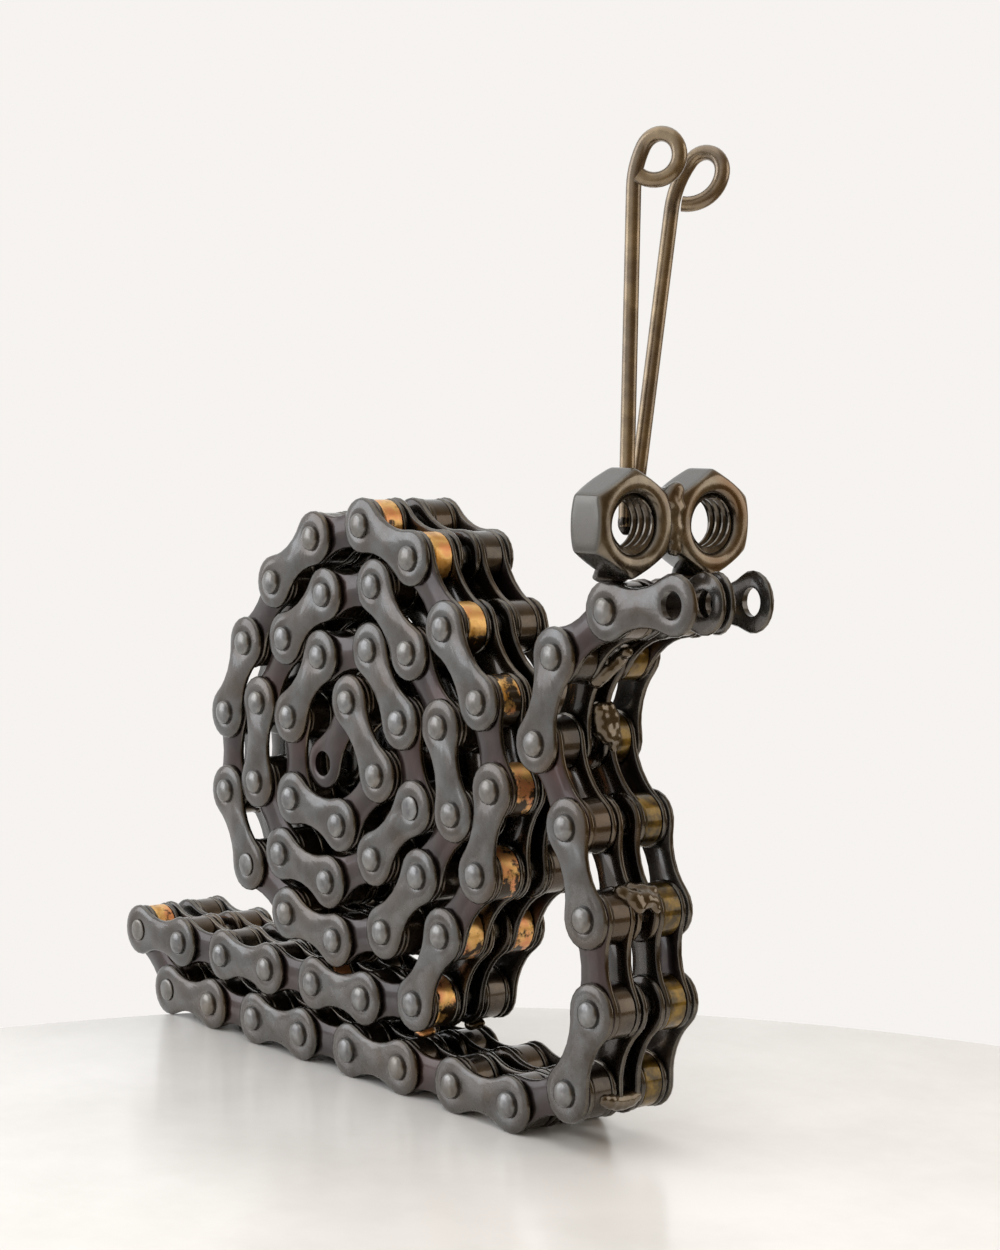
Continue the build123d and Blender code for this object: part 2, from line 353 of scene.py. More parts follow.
# %% [markdown]
# ## Following the chain
# Both chains have the same joints, so the right one gives them for both. Each link is known by its
# two ends. Going from one link to the next that shares a joint gives all the joints in order, from
# the open link at the head (0) to the one in the coil's middle (60). Later cells name a place on
# the snail by that number.

# %% Links and joints in order
stretches = ("neck", "foot", "back", "shell_outer_turn", "shell_middle_turn", "shell_inner_turn")


def snapped(place):
    """The pin nearest to a place, or the place itself where the link's end is open."""
    return next((pin for pin in pins if near(pin, place)), place)


def joins(link, ends):
    """Whether a link has these two ends, in either order."""
    straight = near(ends[0], link[0]) and near(ends[1], link[1])
    return straight or near(ends[0], link[1]) and near(ends[1], link[0])


links = []
for stretch in stretches:
    for kind in ("outer", "inner"):
        for corners in solids_of(f"right_{stretch}_{kind}_plates"):
            ends = [snapped(end) for end in plate_ends(corners)]
            if not any(joins(link, ends) for link in links):
                links.append(ends)

open_ends = [end for ends in links for end in ends if not any(near(end, pin) for pin in pins)]
joints = [max(open_ends, key=lambda place: place.x)]
while len(joints) <= len(links):
    last = joints[-1]
    ways_on = [ends for ends in links if any(near(end, last) for end in ends)]
    onward = [ends[1] if near(ends[0], last) else ends[0] for ends in ways_on]
    joints.append(next(end for end in onward if not any(near(end, old) for old in joints[-2:-1])))
print("Links:", len(links), " joints:", len(joints), " open ends:", len(open_ends))

# %% [markdown]
# ## Metals
# Everything is steel that was welded, then clear coated. A chain's outer plates are blued steel: a
# dark oxide, grey where light strikes it. Its inner plates run browner, and the welder's heat left
# a brown haze near the joints. Each metal is one shader with a metallic base under a thin coat.
# Patches a few millimetres wide vary its colour, and a fine grain breaks up its gloss. The real
# grain is too fine for the picture, so it is drawn at 0.3 mm. A metal can have a second, darker
# colour for what doesn't face the snail's front, which paints shade on the nuts' flanks.

# %% A coated steel
heat_patch = 9
smoother, rougher = 0.07, 0.1


def coated_steel(
    name, dark, light, haze, haze_amount, roughness, coat,
    metallic=0.9, patch=4.0, grain=0.3, bump=0.012, spread=(0.34, 0.66), painted_shade_flanks=None,
):
    """A tarnished steel under clear coat. Patch, grain and bump are sizes in mm."""
    material = bpy.data.materials.new(name)
    tree = empty_tree(material)
    shades = ramp(tree, noise(tree, patch, 3.0, 0.6), tuple(zip(spread, (dark, light))))
    heated = remap(tree, noise(tree, heat_patch, 2.0), 0.45, 0.75, high=haze_amount)
    colour = mix_colours(tree, heated, shades, haze)
    # Faces turned away from +X take the flanks' colour, which is painted shade
    if painted_shade_flanks:
        frontal = remap(tree, facing(tree, "Normal", (1, 0, 0)), 0.2, 0.97)
        colour = mix_colours(tree, frontal, painted_shade_flanks, colour)
    fine = noise(tree, grain, 2.0)
    gloss = remap(tree, fine, 0.0, 1.0, roughness - smoother, roughness + rougher)
    relief = add_node(tree, "Bump", {"Height": fine, "Strength": 0.5, "Distance": bump * mm})
    show_surface(tree, {
        "Base Color": colour, "Metallic": metallic, "Roughness": gloss,
        "Normal": relief.outputs[0], "Coat Weight": coat, "Coat Roughness": 0.1,
    })
    return material


# %% [markdown]
# ## The steel finishes
# The same shader makes them all. Each row gives a dark and a light shade, the haze of heat, how far
# the haze goes, the roughness and the coat. Plates get one finish for their face, a brighter one
# where tumbling and wear rounded the edge, which also paints thin highlight lines along it, and a
# darker lacquered one for the stamped rim. A still darker plate finish paints the shade between the
# chains and under the eyes.

# %% Finishes of plates, rollers, nuts, wires and welds
blued_plate = coated_steel(
    "blued_plate_steel", "463f39", "5b5a58", "53463b", 0.7, 0.28, 0.5, bump=0.001)
brown_plate = coated_steel(
    "heat_browned_plate_steel", "2e2725", "3e3533", "442d27", 0.7, 0.3, 0.45, bump=0.001)
# A darker plate finish: painted shade for plates in the gap between the chains and welds under the
# eyes
painted_shade_steel = coated_steel(
    "oil_darkened_plate_steel", "1f1a15", "332c25", "3b2a16", 0.7, 0.25, 0.6, bump=0.002)
plate_rim = coated_steel(
    "lacquered_plate_rim_steel", "2b241c", "453b2e", "4d3a20", 0.8, 0.24, 0.7, patch=2.0)
# Lighter than the face: partly wear, partly painted highlight lines along the rounded edges
worn_and_highlit_edge = coated_steel(
    "worn_plate_edge_steel", "46423c", "625d54", "5c4c36", 0.7, 0.24, 0.6,
    metallic=0.95, patch=2.0)
roller_steel = coated_steel(
    "heat_browned_roller_steel", "322b24", "564c40", "4d3a24", 0.7, 0.28, 0.5, bump=0.002)
oiled_roller = coated_steel(
    "oil_stained_roller_steel", "3c3016", "866a26", "7a5c18", 0.5, 0.32, 0.5,
    patch=2.0, spread=(0.4, 0.72), bump=0.006)
pin_steel = coated_steel(
    "polished_pin_steel", "5e5c5b", "7f7e7c", "75664f", 0.5, 0.3, 0.4,
    metallic=0.95, patch=1.5)
# The nut's flanks take a darker grey, as painted shade
nut_steel = coated_steel(
    "heat_tinted_nut_steel", "564a3b", "857a68", "704f28", 0.85, 0.24, 0.6,
    patch=3.0, grain=1.5, bump=0.0, painted_shade_flanks="514d47")
thread_steel = coated_steel(
    "cut_thread_steel", "3a332b", "655d51", "54422b", 0.5, 0.22, 0.6, patch=1.5)
wire_steel = coated_steel(
    "drawn_wire_steel", "6f5f4a", "948064", "6a6058", 0.5, 0.27, 0.5,
    metallic=0.85, patch=3.0)
weld_steel = coated_steel(
    "weld_bead_steel", "463b2c", "64563f", "553f20", 0.6, 0.22, 1.0,
    patch=3.5, bump=0.0, spread=(0.2, 0.8))
print("Finishes:", [material.name for material in bpy.data.materials])

# %% [markdown]
# ## Braze
# Braze ran over some of the near chain's rollers, mostly round the front of the coil, and set in
# ragged patches. Brass gives the gold and copper the pink. It is one shader whose colour goes
# from oil-dark steel to braze by ragged noise about 2 mm wide. Three numbers make it differ from
# roller to roller: how much it covers, how much barer it is below, and at what level of a second
# noise the gold has turned to copper.

# %% Braze over dark steel
def brazed(name, cover, run_down, copper_from):
    """Ragged copper-gold braze over dark steel, barer below by run_down, copper past a level."""
    material = bpy.data.materials.new(name)
    tree = empty_tree(material)
    hue = noise(tree, 3.5, 4.0)
    gold = ramp(tree, hue, (
        (copper_from - 0.3, "c08836"), (copper_from - 0.16, "eabc72"), (copper_from, "e39a66")))
    ragged = noise(tree, 2.4, 8.0, 0.62)
    upward = facing(tree, "Normal", (0.3 * run_down, 0, run_down))
    flow = compute(tree, "ADD", ragged, upward)
    patch = remap(tree, flow, 0.62 - cover / 3, 0.7 - cover / 3)
    relief = add_node(tree, "Bump", {"Height": ragged, "Strength": 0.8, "Distance": 0.15 * mm})
    show_surface(tree, {
        "Base Color": mix_colours(tree, patch, "33240f", gold), "Metallic": 0.8,
        "Roughness": remap(tree, hue, 0.0, 1.0, 0.3, 0.5), "Normal": relief.outputs[0],
        "Coat Weight": 0.3, "Coat Roughness": 0.15,
    })
    return material


full_braze = brazed("copper_gold_braze", 0.72, 0.16, 0.66)
copper_braze = brazed("copper_rich_braze", 0.6, 0.12, 0.57)
half_braze = brazed("half_run_copper_gold_braze", 0.42, 0.3, 0.66)
thin_braze = brazed("thin_copper_gold_braze", 0.28, 0.1, 0.66)
patchy_braze = brazed("patchy_copper_rich_braze", 0.44, 0.12, 0.57)
print("Braze looks:", [m.name for m in bpy.data.materials if m.name.endswith("braze")])

# %% [markdown]
# ## Modelling helpers
# Each repeated piece is drawn once, at the origin, with the tools that one would use by hand. What
# a tool acts on is what is selected, so one helper starts an empty mesh and another selects
# vertices, edges or faces by a test of their place.

# %% Select, start, pick and finish
tolerance = 0.01 * mm


def select_only(piece):
    """Select one object and make it the active one."""
    bpy.ops.object.select_all(action="DESELECT")
    piece.select_set(True)
    bpy.context.view_layer.objects.active = piece


def select_mesh():
    """Select all of the mesh that is being edited."""
    bpy.ops.mesh.select_mode(type="VERT")
    bpy.ops.mesh.select_all(action="SELECT")


def edit(piece):
    """Open one object for editing, with its whole mesh selected."""
    select_only(piece)
    bpy.ops.object.mode_set(mode="EDIT")
    select_mesh()


def start_piece(name):
    """A new mesh object in edit mode that holds nothing."""
    bpy.ops.object.select_all(action="DESELECT")
    bpy.ops.mesh.primitive_plane_add(size=mm)
    piece = bpy.context.active_object
    piece.name = name
    bpy.ops.object.mode_set(mode="EDIT")
    bpy.ops.mesh.select_mode(type="VERT")
    bpy.ops.mesh.delete(type="VERT")
    return piece


def pick(test, kind="VERT"):
    """Select what a test finds in the mesh that is being edited."""
    bpy.ops.mesh.select_mode(type=kind)
    bpy.ops.mesh.select_all(action="DESELECT")
    data = bpy.context.object.data
    mesh = bmesh.from_edit_mesh(data)
    items = {"VERT": mesh.verts, "EDGE": mesh.edges, "FACE": mesh.faces}[kind]
    for item in items:
        if test(item):
            item.select_set(True)
    mesh.select_flush_mode()
    bmesh.update_edit_mesh(data)


def finish_piece(piece, material=None, angle=40):
    """Close the edit, point the faces outwards, and shade smooth below the given angle."""
    select_mesh()
    bpy.ops.mesh.normals_make_consistent(inside=False)
    bpy.ops.object.mode_set(mode="OBJECT")
    select_only(piece)
    bpy.ops.object.shade_smooth_by_angle(angle=radians(angle))
    if material:
        piece.data.materials.append(material)
    print(piece.name, "has", len(piece.data.polygons), "faces")


def apply_modifier(piece, kind, **settings):
    """Add a modifier with its settings and apply it."""
    modifier = piece.modifiers.new(kind.lower(), kind)
    for key, value in settings.items():
        setattr(modifier, key, value)
    select_only(piece)
    bpy.ops.object.modifier_apply(modifier=modifier.name)


# %% [markdown]
# ## Copies in place
# Chain parts are all alike, so a finished shape is kept as a pattern, out of the scene. Copies of
# it are put at their places and joined into one object for each CAD node. The object then rides on
# the node's body and takes the node's place.

# %% Join, attach and place
sides = (("right", -1), ("left", 1))
patterns = []


def join(pieces):
    """Join objects into the first one."""
    select_only(pieces[0])
    for piece in pieces[1:]:
        piece.select_set(True)
    if len(pieces) > 1:
        bpy.ops.object.join()
    return pieces[0]


def attach(piece, node=None, body="snail"):
    """Let a piece ride on a body, in place of a CAD node if one is named."""
    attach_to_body(piece, body)
    if node:
        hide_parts(node)
    return piece


def place_copies(name, shapes_and_places, node=None, body="snail"):
    """Copies of finished shapes at their places, as one attached object."""
    copies = []
    for shape, turn in shapes_and_places:
        mesh = shape.data.copy()
        mesh.transform(turn)
        copies.append(bpy.data.objects.new(name, mesh))
        bpy.context.scene.collection.objects.link(copies[-1])
    piece = join(copies)
    piece.name = name
    return attach(piece, node, body)


def keep_as_pattern(piece):
    """Take a finished shape out of the scene. Only its copies are shown."""
    for collection in list(piece.users_collection):
        collection.objects.unlink(piece)
    patterns.append(piece)
    return piece


def turned_to(outward):
    """The turn that makes a piece drawn facing -Y face -Y (-1) or +Y (1)."""
    return Matrix.Rotation(pi, 4, "X") if outward > 0 else Matrix.Identity(4)


print("Helpers are ready for", len(frame["nodes"]), "CAD nodes")

# %% [markdown]
# ## Half a chain plate
# A plate is stamped from 1.1 mm strip: a figure eight with round ends and a waist, its edges
# tumbled round. Its front rises a little to a crown round each pin, and inside the crown a narrow
# groove runs round the pin, where it was riveted over. Half of the plate is drawn as one line by
# spinning a single vertex: half the waist, the round end, half the waist again. The crown's ring is
# bridged to that line, which gives faces that run outwards from the pin and shade evenly. The
# hollow of the waist is an arc that touches both ends, and its radius follows from the end radius
# and the waist. An end is pinned, with the groove, or open, with a hole, or flat, as on inner
# plates, which carry no rivet head.

# %% Draw half a plate
plate_thickness = 1.1 * mm
outer_end_radius = 4.2 * mm
inner_end_radius = 4.05 * mm
waist_half_depth = 2.65 * mm
crown_radius = 2.4 * mm
groove_radius = 2.02 * mm
groove_depth = 0.14 * mm
hole_radius = 1.95 * mm
hole_lip_share = 0.2
edge_drop = 0.26 * mm
ring_slack = 0.03 * mm
waist_steps = 3
end_steps = 14


def on_cut(vertex):
    """Whether a vertex is on the line where the two halves meet."""
    return abs(vertex.co.x - pitch / 2) < tolerance


def on_crown(edge):
    """Whether an edge is on the crown's ring."""
    return all(abs(hypot(v.co.x, v.co.z) - crown_radius) < ring_slack for v in edge.verts)


def on_outline(edge):
    """Whether an edge is on the front's outline, and not on the line where the halves meet."""
    at_cut = all(on_cut(vertex) for vertex in edge.verts)
    return edge.is_boundary and not at_cut and max(v.co.y for v in edge.verts) < tolerance


def extruded_ring(from_radius, to_radius, depth):
    """Extrude the selected ring of edges to another radius and back by a depth."""
    bpy.ops.mesh.extrude_edges_move()
    share = to_radius / from_radius
    bpy.ops.transform.resize(value=(share, 1, share), center_override=(0, 0, 0))
    bpy.ops.transform.translate(value=(0, depth, 0))


def draw_half(name, end_radius, kind):
    """Half a plate about its joint, its waist toward +X and its front facing -Y at zero."""
    piece = start_piece(name)
    rise = waist_half_depth * end_radius / outer_end_radius
    hollow = ((pitch / 2) ** 2 + rise**2 - end_radius**2) / (2 * (end_radius - rise))
    touch = atan2(hollow + rise, pitch / 2)
    bpy.ops.mesh.primitive_plane_add(size=mm, location=(pitch / 2, 0, rise))
    bpy.ops.mesh.merge(type="CENTER")
    arcs = (
        (waist_steps, pi / 2 - touch, (pitch / 2, 0, rise + hollow)),
        (end_steps, -2 * (pi - touch), (0, 0, 0)),
        (waist_steps, pi / 2 - touch, (pitch / 2, 0, -rise - hollow)),
    )
    for steps, angle, centre in arcs:
        bpy.ops.mesh.spin(steps=steps, angle=angle, center=centre, axis=(0, -1, 0))
    pick(on_cut)
    bpy.ops.mesh.edge_face_add()
    bpy.ops.mesh.subdivide(number_cuts=1)
    points = len(bmesh.from_edit_mesh(piece.data).verts)
    bpy.ops.mesh.primitive_circle_add(
        vertices=points, radius=crown_radius, rotation=(pi / 2, 0, 0), location=(0, 0, 0))
    bpy.ops.mesh.select_mode(type="EDGE")
    bpy.ops.mesh.select_all(action="SELECT")
    bpy.ops.mesh.bridge_edge_loops()
    pick(on_crown, "EDGE")
    if kind != "flat":
        extruded_ring(crown_radius, groove_radius, groove_depth)
    if kind == "open":
        extruded_ring(groove_radius, hole_radius, hole_lip_share * groove_depth)
        drop = (1 + hole_lip_share) * groove_depth
        extruded_ring(hole_radius, hole_radius, plate_thickness - drop)
    else:
        bpy.ops.mesh.edge_face_add()
    pick(on_outline, "EDGE")
    bpy.ops.transform.translate(value=(0, edge_drop, 0))
    bpy.ops.mesh.extrude_edges_move()
    bpy.ops.transform.translate(value=(0, plate_thickness - edge_drop, 0))
    bpy.ops.object.mode_set(mode="OBJECT")
    piece.data.transform(Matrix.Translation((-pitch / 2, 0, 0)))
    return piece


print("Plate end radii in mm:", in_mm((outer_end_radius, inner_end_radius), 2))

# %% [markdown]
# ## Whole plates
# Two halves, one of them mirrored, are joined and merged at the waist, and the open back is filled.
# Bevels on the long edges do what tumbling did: a wide round on the front and a small one on the
# back. The faces of the rounds and of the rim are found by how far their normals lean, and each
# kind gets its own finish. Outer and inner plates, outside and in the gap between the chains, with
# closed or open ends, make eight patterns.

# %% Draw the plates
front_round = 0.42 * mm
back_round = 0.22 * mm
crown_reach = 3.2 * mm
waist_half_length = 3 * mm
# Shares of a normal that point along Y: on the rim, on the rounds at most, on the broad faces
rim_share, round_share, face_share = 0.3, 0.75, 0.9


def from_pin(point):
    """How far a point of a whole plate is from the nearer pin's axis."""
    return hypot(abs(point.x) - pitch / 2, point.z)


def long_edge_at(depth):
    """A test for edges between a broad face and the rim, at one depth in the plate."""
    def test(edge):
        shares = sorted(abs(face.normal.y) for face in edge.link_faces)
        outside = all(
            from_pin(v.co) > crown_reach or abs(v.co.x) < waist_half_length for v in edge.verts)
        level = all(abs(v.co.y - depth) < tolerance for v in edge.verts)
        return outside and level and shares[0] < rim_share and shares[1] > face_share
    return test


def leaning(low, high):
    """A test for faces outside the crowns whose normal's share along Y is between two values."""
    def test(face):
        outside = from_pin(face.calc_center_median()) > crown_radius
        return low < abs(face.normal.y) < high and outside
    return test


def draw_plate(name, end_radius, kinds, materials):
    """A whole plate about its middle, from a half of one kind at -X and a half of another at +X."""
    piece = draw_half(name, end_radius, kinds[0])
    half = draw_half(name + "_half", end_radius, kinds[1])
    half.data.transform(Matrix.Diagonal((-1, 1, 1, 1)))
    edit(join([piece, half]))
    bpy.ops.mesh.remove_doubles(threshold=tolerance)
    pick(lambda edge: edge.is_boundary, "EDGE")
    if "open" in kinds:
        bpy.ops.mesh.fill()
    else:
        bpy.ops.mesh.edge_face_add()
    bpy.ops.mesh.select_all(action="SELECT")
    bpy.ops.mesh.normals_make_consistent(inside=False)
    for material in materials:
        piece.data.materials.append(material)
    for depth, width, segments in ((edge_drop, front_round, 2), (plate_thickness, back_round, 1)):
        pick(long_edge_at(depth), "EDGE")
        bpy.ops.mesh.bevel(offset=width, segments=segments, profile=0.5)
    for slot, low, high in ((1, rim_share, round_share), (2, -1, rim_share)):
        pick(leaning(low, high), "FACE")
        piece.active_material_index = slot
        bpy.ops.object.material_slot_assign()
    finish_piece(piece, angle=50)
    return keep_as_pattern(piece)


blued = (blued_plate, worn_and_highlit_edge, plate_rim)
browned = (brown_plate, worn_and_highlit_edge, plate_rim)
painted_shade_plates = (painted_shade_steel, worn_and_highlit_edge, plate_rim)

# Plates in the gap between the chains take the darker finish, which paints the shade there
# Each row is a kind of plate, its end radius, its end, where it sits, its finish and, where one
# end is open, its finish then
plate_rows = (
    ("outer", outer_end_radius, "pinned", "outside", blued, blued),
    ("outer", outer_end_radius, "pinned", "gap", painted_shade_plates, blued),
    ("inner", inner_end_radius, "flat", "outside", browned, browned),
    ("inner", inner_end_radius, "flat", "gap", painted_shade_plates, painted_shade_plates),
)
plates = {}
open_plates = {}
for kind, end_radius, end, spot, finish, open_finish in plate_rows:
    name = f"{kind}_plate" if spot == "outside" else f"{kind}_plate_at_gap"
    plates[kind, spot] = draw_plate(name, end_radius, (end, end), finish)
    open_plates[kind, spot] = draw_plate("open_" + name, end_radius, ("open", end), open_finish)
for shape in patterns:
    mesh = bmesh.new()
    mesh.from_mesh(shape.data)
    closed = all(edge.is_manifold for edge in mesh.edges)
    volume = round(mesh.calc_volume(signed=True) / mm**3, 1)
    print(shape.name, "closed:", closed, "volume mm3:", volume)
    mesh.free()

# %% [markdown]
# ## Placing the plates
# Each CAD plate is a separate solid, and its place, heading and side are read from its corners. The
# open plates of the head link lean to the snail's right, as if someone had pinched them: straight
# up to the inner link's end, and slanted from there to the tip. So their copies are slanted too.

# %% Place the plates
chain_offset = 4.75 * mm
bend_x = joints[1].x + outer_end_radius
bend_margin = 1 * mm
slack = 0.1 * mm
least_lean = 0.01


def plate_turn(ends, face_y, outward):
    """The place of a copy: its -X end at the first joint, its front at a given y, facing out."""
    centre = (ends[0] + ends[1]) / 2
    heading = atan2(ends[1].z - ends[0].z, ends[1].x - ends[0].x)
    turn = Matrix.Rotation(-heading, 4, "Y") @ turned_to(outward)
    return Matrix.Translation((centre.x, face_y, centre.z)) @ turn


def lean_of(corners):
    """How far a plate leans to the right for each metre forward of the bend."""
    if not any(corner.x > bend_x + bend_margin for corner in corners):
        return 0
    behind = [corner.y for corner in corners if corner.x < bend_x - bend_margin]
    tip_x = max(corner.x for corner in corners)
    tips = [corner.y for corner in corners if corner.x > tip_x - slack]
    return (sum(behind) / len(behind) - sum(tips) / len(tips)) / (tip_x - bend_x)


def slant(piece, lean, low_y, high_y):
    """Lean the plate between two y values, forward of the bend."""
    for corner in piece.data.vertices:
        if corner.co.x > bend_x and low_y - slack < corner.co.y < high_y + slack:
            corner.co.y -= lean * (corner.co.x - bend_x)
    print(piece.name, "has a plate that leans", round(lean, 3), "mm for each mm forward")


for side, sign in sides:
    for stretch in stretches:
        for kind in ("outer", "inner"):
            node = f"{side}_{stretch}_{kind}_plates"
            copies = []
            leans = []
            for corners in solids_of(node):
                ends = [snapped(end) for end in plate_ends(corners)]
                pinned = [any(near(end, pin) for pin in pins) for end in ends]
                if pinned[0] and not pinned[1]:
                    ends.reverse()
                level = [corner.y for corner in corners if corner.x < bend_x + slack]
                outward = 1 if min(level) > sign * chain_offset else -1
                face_y = max(level) if outward > 0 else min(level)
                shelf = plates if all(pinned) else open_plates
                shape = shelf[kind, "outside" if outward == sign else "gap"]
                copies.append((shape, plate_turn(ends, face_y, outward)))
                if lean_of(corners) > least_lean:
                    leans.append((lean_of(corners), min(level), max(level)))
            made = place_copies(node + "_made", copies, node)
            for lean in leans:
                slant(made, *lean)
made_plates = [thing for thing in bpy.data.objects if thing.name.endswith("_plates_made")]
print("Plates placed:", len(made_plates), "nodes")

# %% [markdown]
# ## Worn soles
# The snail stands on the foot's outer links, whose round edges are rubbed flat where they touch.
# A cut at floor level with the filled side down does what years on a table do.

# %% Flatten the foot at the floor
cut_threshold = 0.001 * mm

for side, _ in sides:
    sole = bpy.data.objects[f"{side}_foot_outer_plates_made"]
    edit(sole)
    bpy.ops.mesh.bisect(
        plane_co=(0, 0, 0), plane_no=(0, 0, 1), use_fill=True, clear_inner=True,
        threshold=cut_threshold)
    bpy.ops.object.mode_set(mode="OBJECT")
    print(sole.name, "lowest point in mm:", in_mm([min(v.co.z for v in sole.data.vertices)], 3))

# %% [markdown]
# ## Rivet heads
# The pins' ends were riveted over into low domes, on both outer sides and in the gap between the
# chains. A dome is a circle that is extruded up and drawn in, in steps that follow a ball's
# outline. Those in the gap are hardly seen, so they have fewer faces. Four joints of the near chain
# were ground nearly flush, so their heads are pressed down to a third.

# %% Draw and place the rivet heads
head_radius = 1.9 * mm
head_height = 0.85 * mm
head_rim = 0.2 * mm
head_root = 0.3 * mm
dome_angle = 78
flush_joints = [joints[number] for number in (15, 16, 35, 51)]
pressed_flush = Matrix.Diagonal((0.95, 0.3, 0.95, 1))


def draw_head(name, around, steps):
    """A domed rivet head that faces -Y, its root sunk a little below the plane y = 0."""
    head = start_piece(name)
    bpy.ops.mesh.primitive_circle_add(
        vertices=around, radius=head_radius, location=(0, head_root, 0),
        rotation=(pi / 2, 0, 0), fill_type="NGON")
    bpy.ops.mesh.select_mode(type="EDGE")
    shift = {"value": (0, -head_root - head_rim, 0)}
    bpy.ops.mesh.extrude_region_move(TRANSFORM_OT_translate=shift)
    ball_height = (head_height - head_rim) / sin(radians(dome_angle))
    for step in range(steps):
        angle, next_angle = (radians(dome_angle * count / steps) for count in (step, step + 1))
        shift = {"value": (0, -(sin(next_angle) - sin(angle)) * ball_height, 0)}
        share = cos(next_angle) / cos(angle)
        bpy.ops.mesh.extrude_region_move(TRANSFORM_OT_translate=shift)
        bpy.ops.transform.resize(value=(share, 1, share), center_override=(0, 0, 0))
    finish_piece(head, pin_steel, 70)
    return keep_as_pattern(head)


rivet = draw_head("rivet_head", 14, 4)
gap_rivet = draw_head("gap_rivet_head", 10, 2)

for side, sign in sides:
    for stretch in ("neck", "foot", "shell"):
        node = f"{side}_{stretch}_rivet_heads"
        low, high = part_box(node)
        base = high.y if sign < 0 else low.y
        copies = []
        for corners in solids_of(node):
            centre = middle(corners)
            turn = Matrix.Translation((centre.x, base, centre.z)) @ turned_to(sign)
            if sign < 0 and any(near(centre, joint) for joint in flush_joints):
                turn = turn @ pressed_flush
            copies.append((rivet, turn))
        place_copies(node + "_made", copies, node)
    low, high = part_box(f"{side}_foot_outer_plates")
    base = high.y if sign < 0 else low.y
    turn = turned_to(-sign)
    copies = [(gap_rivet, Matrix.Translation((pin.x, base, pin.z)) @ turn) for pin in pins]
    place_copies(f"{side}_gap_rivet_heads", copies)
print("Rivet heads in the gap:", 2 * len(pins))

# %% [markdown]
# ## Rollers
# Each roller is a short tube of hardened steel with its rims chamfered. Where a weld holds it,
# nothing shows of its bore, so it is a drum. The eight rollers that are still free get their bore,
# and each rides on its own body so that it turns on its bush. The far chain's rollers on the neck
# are stained yellow by old oil.

# %% Draw the rollers and the bush
roller_radius = 3.87 * mm
roller_chamfer = 0.25 * mm
fixed_width = 3.3 * mm
free_width = 3.1 * mm
free_bore = 2.6 * mm
bush_radius = 2.5 * mm
bush_chamfer = 0.1 * mm
flat_share = 0.99
fewest_corners = 10


def runs_round(edge):
    """Whether an edge runs round a piece whose axis is Y."""
    return abs(edge.verts[0].co.y - edge.verts[1].co.y) < tolerance


def is_end(face):
    """Whether a face is an end of a piece whose axis is Y."""
    return abs(face.normal.y) > flat_share and len(face.verts) > fewest_corners


def draw_roller(
    name, width, bore, material, radius=roller_radius, around=22, chamfer=roller_chamfer,
):
    """A roller or bush about the origin, with its axis along Y. A bore of 0 leaves it solid."""
    piece = start_piece(name)
    bpy.ops.mesh.primitive_cylinder_add(
        vertices=around, radius=radius, depth=width, rotation=(pi / 2, 0, 0))
    pick(runs_round, "EDGE")
    bpy.ops.mesh.bevel(offset=chamfer, segments=1)
    if bore:
        pick(is_end, "FACE")
        bpy.ops.mesh.inset(thickness=radius - chamfer - bore)
        bpy.ops.mesh.bridge_edge_loops()
    finish_piece(piece, material)
    return keep_as_pattern(piece)


fixed_roller = draw_roller("fixed_roller", fixed_width, 0, roller_steel)
oily_roller = draw_roller("oily_roller", fixed_width, 0, oiled_roller)
free_roller = draw_roller("free_roller", free_width, free_bore, oiled_roller)
dark_free_roller = draw_roller("dark_free_roller", free_width, free_bore, roller_steel)
bush = draw_roller("bush", fixed_width, 0, roller_steel, bush_radius, 24, bush_chamfer)

# %% [markdown]
# ## Placing the rollers
# The middle of each CAD roller is the place of its copy. Braze lies on some of the near chain's
# rollers, round the front and the foot of the coil and at the tail, and on one of the far chain's.
# A table says which joints carry which braze.

# %% Place the rollers and bushes
# Each row is a side, a braze and the joints whose rollers carry it
braze_rows = (
    ("right", full_braze, (28,)),
    ("right", copper_braze, (23, 29)),
    ("left", copper_braze, (23,)),
    ("right", half_braze, (27,)),
    ("right", thin_braze, (26,)),
    ("right", patchy_braze, (16, 20, 22, 24, 25)),
)
brazed_rollers = []
for side, braze, numbers in braze_rows:
    shape = draw_roller(braze.name + "_roller", fixed_width, 0, braze)
    brazed_rollers += [(side, joints[number], shape) for number in numbers]

for side, _ in sides:
    for stretch in ("neck", "foot", "shell"):
        node = f"{side}_{stretch}_fixed_rollers"
        copies = []
        for corners in solids_of(node):
            centre = middle(corners)
            shape = oily_roller if (side, stretch) == ("left", "neck") else fixed_roller
            for brazed_side, joint, brazed_shape in brazed_rollers:
                if side == brazed_side and near(centre, joint):
                    shape = brazed_shape
            copies.append((shape, Matrix.Translation(centre)))
        place_copies(node + "_made", copies, node)
    for spot in ("neck_upper", "neck_lower", "foot_front", "foot_second"):
        node = f"{side}_{spot}_roller"
        low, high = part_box(node)
        shape = free_roller if side == "left" and spot.startswith("neck") else dark_free_roller
        centre = Matrix.Translation((low + high) / 2)
        place_copies(node + "_made", [(shape, centre)], node, node + "_body")

for side, _ in sides:
    node = f"{side}_bushes"
    copies = [(bush, Matrix.Translation(middle(corners))) for corners in solids_of(node)]
    place_copies(node + "_made", copies, node)
print("Rollers with braze:", len(brazed_rollers))

# %% [markdown]
# ## Eyes
# The eyes are forged hex nuts for an 8 mm thread, each standing on a corner. A nut's corners are
# turned off at 30 degrees on both faces, so a hexagonal prism is intersected with a turned disc
# whose rims slope that way. A turned solid with a flare at each end cuts the bore and its lead-ins.
# Tumbling and coating rounded every edge of the real ones, so the nut is remeshed to a fine skin
# and smoothed.

